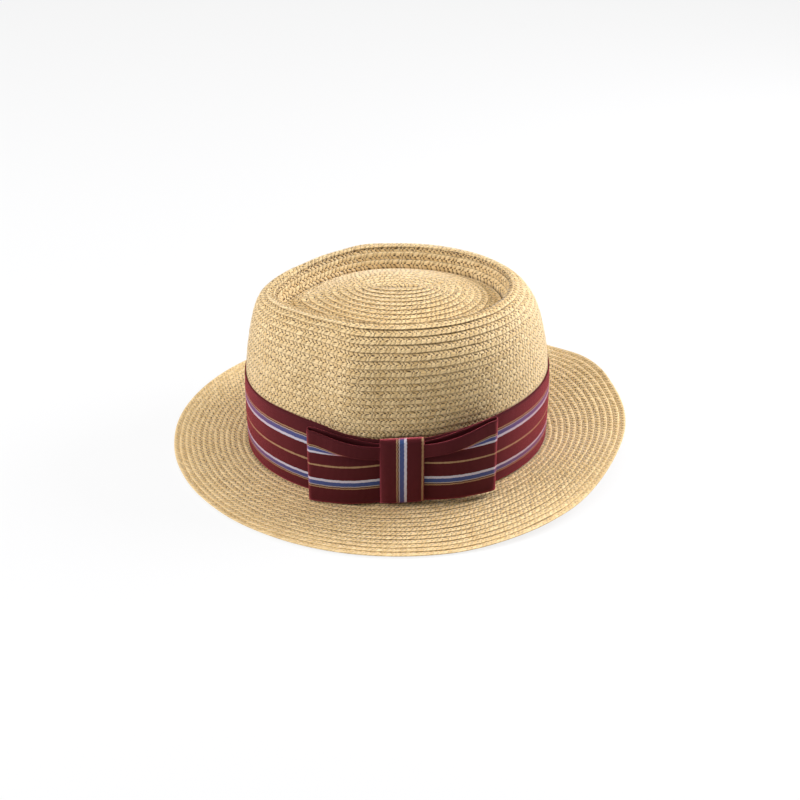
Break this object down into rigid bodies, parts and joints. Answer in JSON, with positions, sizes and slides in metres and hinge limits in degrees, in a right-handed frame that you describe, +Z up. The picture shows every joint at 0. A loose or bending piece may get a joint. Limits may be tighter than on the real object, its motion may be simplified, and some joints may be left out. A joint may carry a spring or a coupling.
{
  "type": "straw fedora hat",
  "caption": "Straw fedora with a dented teardrop crown, a brim turned up at the back, a wide striped ribbon band and a flat ribbon bow on one side.",
  "frame": {"origin": "on the resting surface under the middle of the brim", "axes": "+Z up; the front of the hat faces -Y and the turned-up back +Y; the bow is on the +X side"},
  "size_m": [0.279, 0.311, 0.1197],
  "materials": {
    "straw": "sewn straw braid, matt with a faint sheen",
    "ribbon": "ribbed woven ribbon with lengthwise stripes"
  },
  "bodies": {
    "root": {"crown": "straw", "brim": "straw", "band": "ribbon", "bow_loop_front": "ribbon", "bow_loop_back": "ribbon", "bow_knot": "ribbon"}
  },
  "joints": []
}
